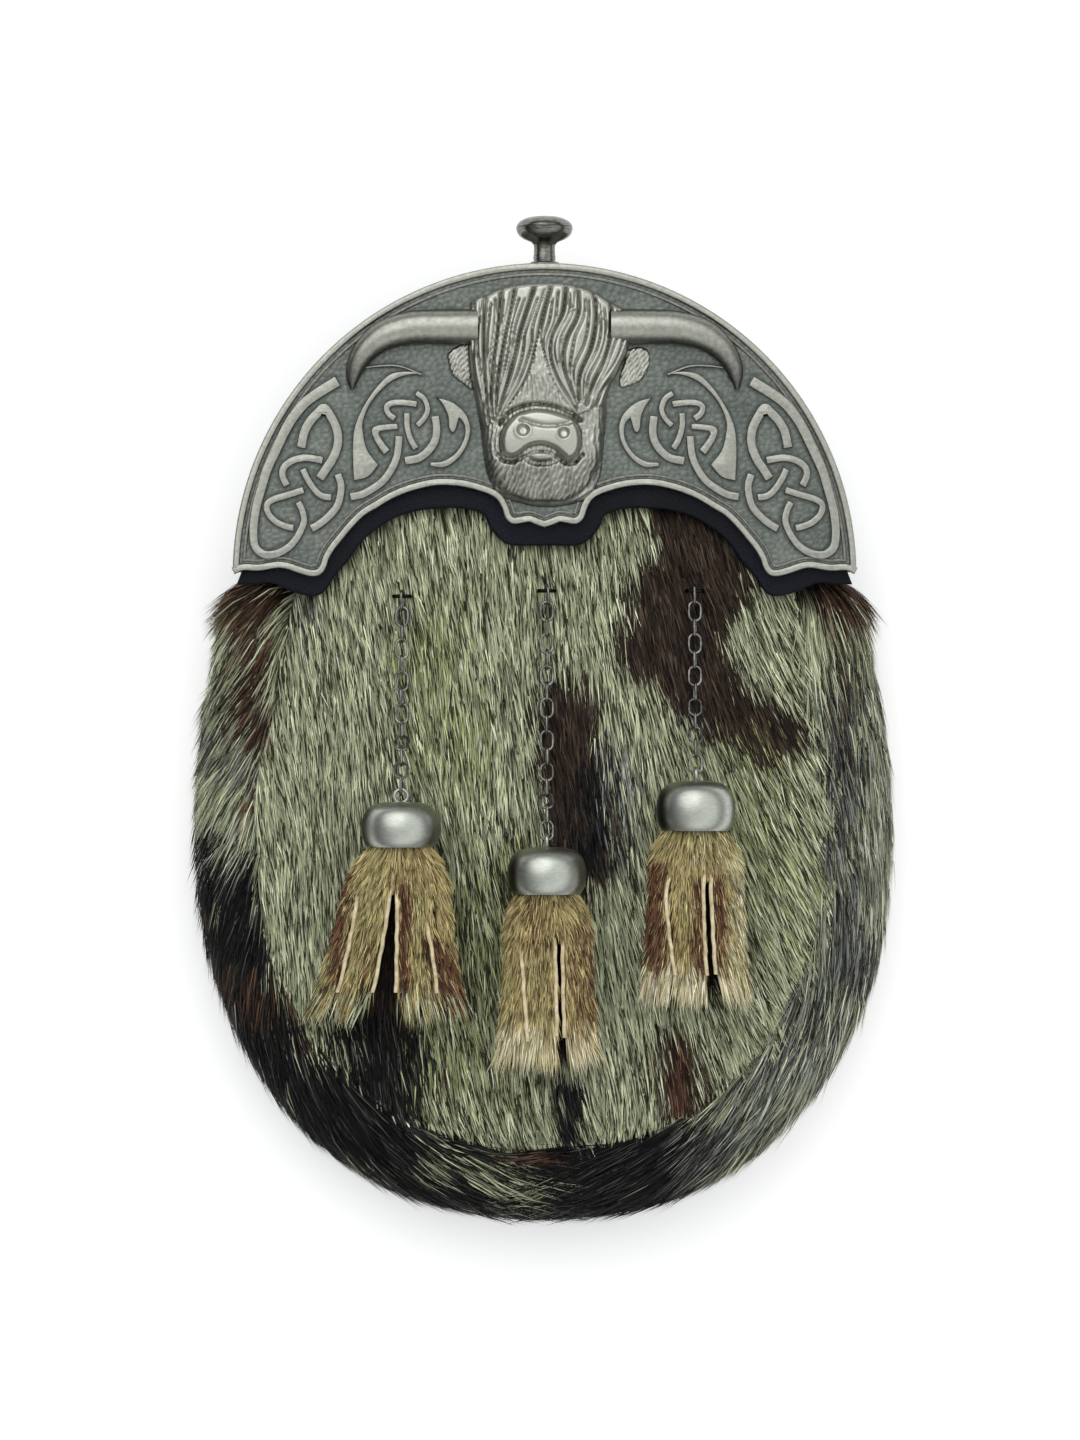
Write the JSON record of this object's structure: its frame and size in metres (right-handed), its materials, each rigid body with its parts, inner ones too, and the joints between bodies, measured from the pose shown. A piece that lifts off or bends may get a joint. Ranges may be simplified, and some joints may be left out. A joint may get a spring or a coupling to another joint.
{
  "type": "sporran pouch",
  "caption": "Fur faced dress sporran pouch with a cast half round cantle, push knob, chains and fur tassels, lying on its back.",
  "frame": {"origin": "on the surface that the pouch lies on, under the middle of its box", "axes": "+Y from the pouch's rounded bottom up to its knob, +Z out of its fur front, +X to the right as seen from the front"},
  "size_m": [0.1856, 0.2596, 0.064],
  "materials": {
    "cast_pewter": "antiqued cast pewter, dark in the recesses and rubbed bright on the relief",
    "bright_metal": "turned and polished, slightly tarnished",
    "brushed_cap": "satin brushed",
    "dark_steel": "blackened wire",
    "black_leather": "smooth black hide",
    "brown_leather": "the flesh side of the fur hide",
    "sage_fur": "short coarse fur, sage with dark brown patches",
    "dark_fur": "longer coarse fur, sage, grey and black",
    "tan_fur": "hide backed fur strips, cream, tan and red-brown"
  },
  "bodies": {
    "pouch": {"cantle": "cast_pewter", "cantle_liner": "black_leather", "front_panel": "brown_leather", "front_fur": "sage_fur", "side_gusset": "brown_leather", "band_fur": "dark_fur", "top_gusset": "black_leather", "back_panel": "black_leather", "strap_loop_left": "black_leather", "strap_loop_right": "black_leather", "chain_left": "dark_steel", "chain_middle": "dark_steel", "chain_right": "dark_steel", "chain_staple_left": "dark_steel", "chain_staple_middle": "dark_steel", "chain_staple_right": "dark_steel", "tassel_cap_left": "brushed_cap", "tassel_cap_middle": "brushed_cap", "tassel_cap_right": "brushed_cap", "tassel_left": "tan_fur", "tassel_middle": "tan_fur", "tassel_right": "tan_fur"},
    "knob": {"knob": "bright_metal"}
  },
  "joints": [
    {"name": "knob_push", "type": "slide", "parent": "pouch", "child": "knob", "axis": [0, -1, 0], "range_m": [0, 0.003], "stiffness_N_per_m": 250, "springref_m": -0.002}
  ]
}
